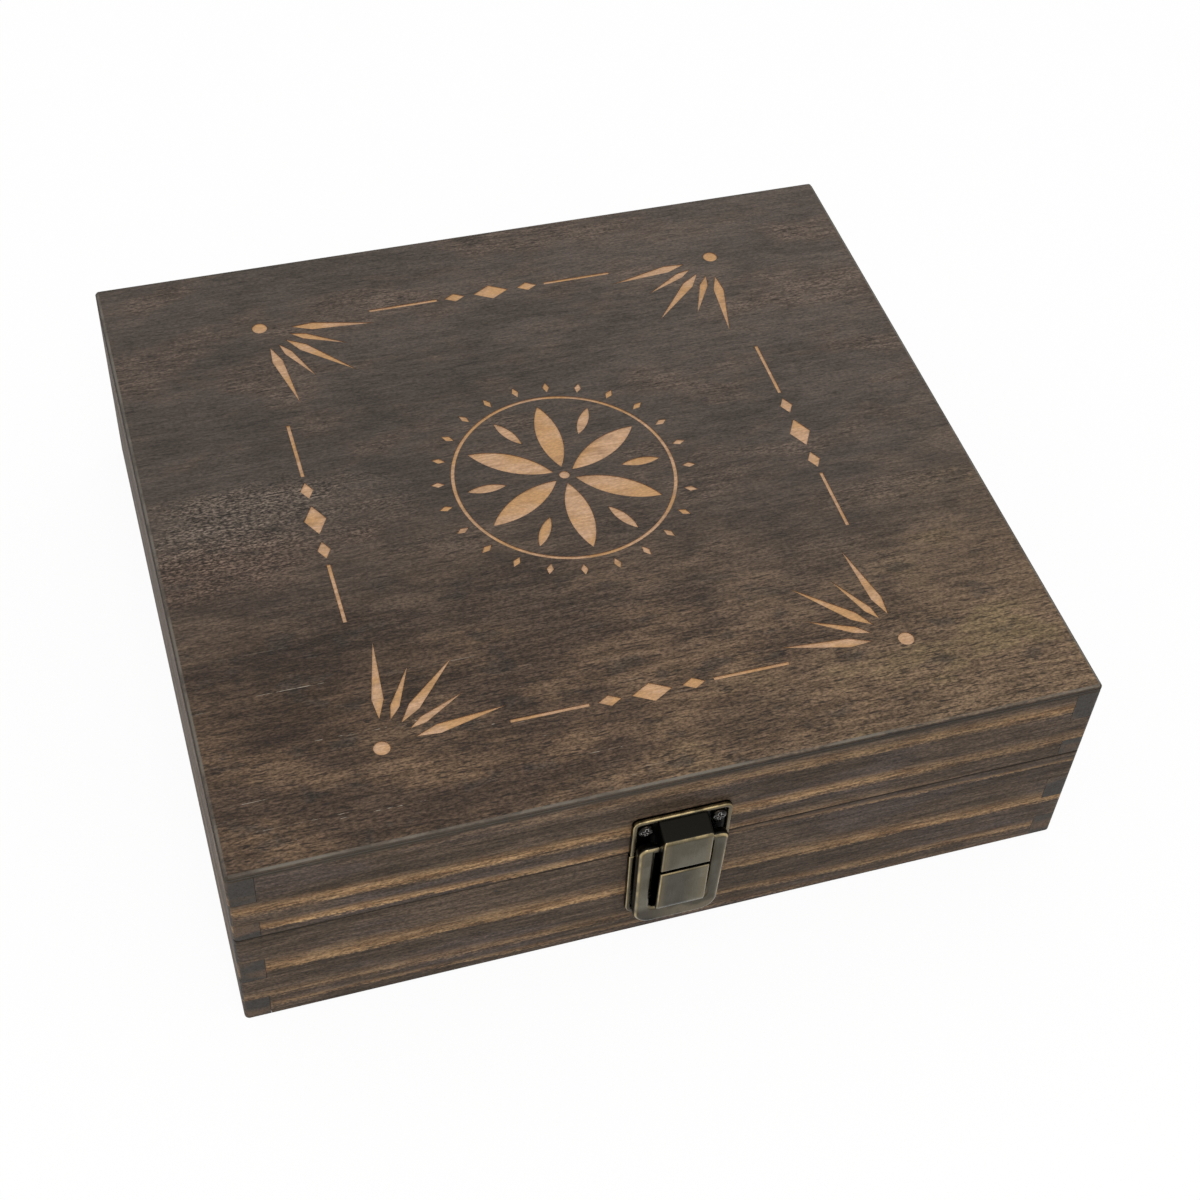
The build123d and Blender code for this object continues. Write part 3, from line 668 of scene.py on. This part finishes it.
plate_floor = 1.0
plate_face_reach = -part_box("lid_front_rail")[0].y / millimetre + plate_floor
plate_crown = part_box("hasp_plate")[1].z / millimetre
strap_half = 7.0
plates = (plate_face_reach, plate_crown, strap_half)
dress("keeper_plate", antique_brass("antique_brass_keeper", *plates, 0.40, 1.08))
dress("hasp_plate", antique_brass("antique_brass_hasp_plate", *plates, 0.76, 0.78, 100))
frame_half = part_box("hasp_frame")[1].x / millimetre
frame_brass = antique_brass("antique_brass_frame", plate_face_reach, plate_crown, frame_half, 0.80, 0.48, 200)
dress("hasp_frame", frame_brass)
dress("hasp_pin", frame_brass)


# Hinges on the back
# Two stamped butt hinges in the same blackened brass, three knuckles on a headed pin, their
# leaves screwed flat on the back boards.
leaf_root = 0.5
hinge_face_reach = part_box("lid_back_rail")[1].y / millimetre - leaf_root
hinge_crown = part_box("left_hinge_lid_leaf")[1].z / millimetre
hinge_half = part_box("right_hinge_lid_leaf")[1].x / millimetre
hinge_brass = antique_brass("antique_brass_hinge", hinge_face_reach, hinge_crown, hinge_half, shift=300)
for side in ("left", "right"):
    for piece in ("hinge_base_leaf", "hinge_lid_leaf", "hinge_pin"):
        dress(f"{side}_{piece}", hinge_brass)


# Screws
# Blackened steel wood screws with pan heads, turned and cold-headed, that hold the latch and the
# hinges to the boards; their crosses and rims carry painted glints.
def sharp_edge_glint(tree, radius, low, high):
    """Share of painted glint: high where the surface turns sharply within a small radius."""
    rounded = wire(tree, "ShaderNodeBevel", {"Radius": radius}, samples=6).outputs["Normal"]
    true = wire(tree, "ShaderNodeNewGeometry").outputs["Normal"]
    likeness = wire(tree, "ShaderNodeVectorMath", {0: rounded, 1: true}, operation="DOT_PRODUCT")
    return spread(tree, likeness.outputs["Value"], high, low)


black_steel, tree, surface = fresh_material("blackened_steel")
steel_black = (0.010, 0.010, 0.010, 1)
steel_brown = (0.028, 0.022, 0.016, 1)
steel_glint = (0.750, 0.730, 0.700, 1)
coords = wire(tree, "ShaderNodeTexCoord")
place = in_millimetres(tree, coords)
blotch = grain(tree, place, (1.0, 1.0, 1.0), 0.9, 3.0)
colour = tint(tree, spread(tree, blotch, 0.4, 0.7), steel_black, steel_brown)
glint_radius = 0.0006
# Painted highlight: glints on the crosses and rims of the heads
painted_edge_highlight = sharp_edge_glint(tree, glint_radius, 0.82, 0.99)
painted_edge_highlight = times(tree, painted_edge_highlight, spread(tree, blotch, 0.35, 0.6, 0.3, 0.9))
colour = tint(tree, painted_edge_highlight, colour, steel_glint)
surface.inputs["Metallic"].default_value = 1.0
lay_finish(tree, surface, colour, spread(tree, blotch, 0.3, 0.7, 0.22, 0.36), blotch, 0.1, 0.0001)
for group in ("hasp_plate_screws", "keeper_screws", "hinge_base_screws", "hinge_lid_screws"):
    dress(group, black_steel)


# Floor, light and camera
# A white paper floor under an even white sky, with one broad soft lamp high in front of the box.
# The camera looks down from the front left with a long lens, and is turned a little on its axis.
def seen_white(tree):
    """Share that is 1 where the surface is seen by the camera, in a reflection or through glass."""
    path = wire(tree, "ShaderNodeLightPath").outputs
    seen = reckon(tree, "MAXIMUM", path["Is Camera Ray"], path["Is Glossy Ray"])
    return reckon(tree, "MAXIMUM", seen, path["Is Transmission Ray"])


floor_half = 3.0
floor_drop = 0.0002
bpy.ops.object.select_all(action="DESELECT")
bpy.ops.mesh.primitive_plane_add(size=2 * floor_half, location=(0, 0, cad_low.z - floor_drop))
floor = bpy.context.object
floor.name = "paper_floor"
paper, tree, surface = fresh_material("white_paper")
surface.inputs["Base Color"].default_value = (0.96, 0.96, 0.96, 1)
surface.inputs["Roughness"].default_value = 0.9
surface.inputs["Specular IOR Level"].default_value = 0.0
paper_share = 0.93
glow = wire(tree, "ShaderNodeEmission", {"Color": (1, 1, 1, 1), "Strength": 1.0})
share = times(tree, seen_white(tree), paper_share)
paper_mix = wire(tree, "ShaderNodeMixShader", {0: share, 1: surface.outputs[0], 2: glow.outputs[0]})
tree.links.new(paper_mix.outputs[0], tree.nodes["Material Output"].inputs["Surface"])
floor.data.materials.append(paper)

sky = bpy.data.worlds.new("white_sky")
sky.use_nodes = True
bpy.context.scene.world = sky
tree = sky.node_tree
sky_light = tree.nodes["Background"]
sky_light.inputs["Color"].default_value = (1, 1, 1, 1)
sky_strength = 0.78
strength = spread(tree, seen_white(tree), 0.0, 1.0, sky_strength, 1.0)
tree.links.new(strength, sky_light.inputs["Strength"])

lamp = bpy.data.lights.new("broad_lamp", "AREA")
lamp.shape = "SQUARE"
lamp.size = 0.5
lamp.energy = 9.5
lamp_place = Vector((-0.12, -1.05, 1.45))
lamp_object = bpy.data.objects.new("broad_lamp", lamp)
lamp_object.location = lamp_place
lamp_object.rotation_euler = (-lamp_place).to_track_quat("-Z", "Y").to_euler()
bpy.context.scene.collection.objects.link(lamp_object)

camera = bpy.data.cameras.new("studio_camera")
camera.lens = 61.52
camera.sensor_width = 36.0
camera_place = (-0.14218, -0.41990, 0.52707)
camera_azimuth = math.radians(-20.525)
camera_elevation = math.radians(49.121)
camera_roll = math.radians(-4.651)
camera_object = bpy.data.objects.new("studio_camera", camera)
camera_object.location = camera_place
camera_turn = Euler((math.pi / 2 - camera_elevation, 0, camera_azimuth)).to_matrix()
camera_object.rotation_euler = (camera_turn @ Matrix.Rotation(-camera_roll, 3, "Z")).to_euler()
bpy.context.scene.collection.objects.link(camera_object)
bpy.context.scene.camera = camera_object
bpy.context.scene.view_settings.view_transform = "Standard"
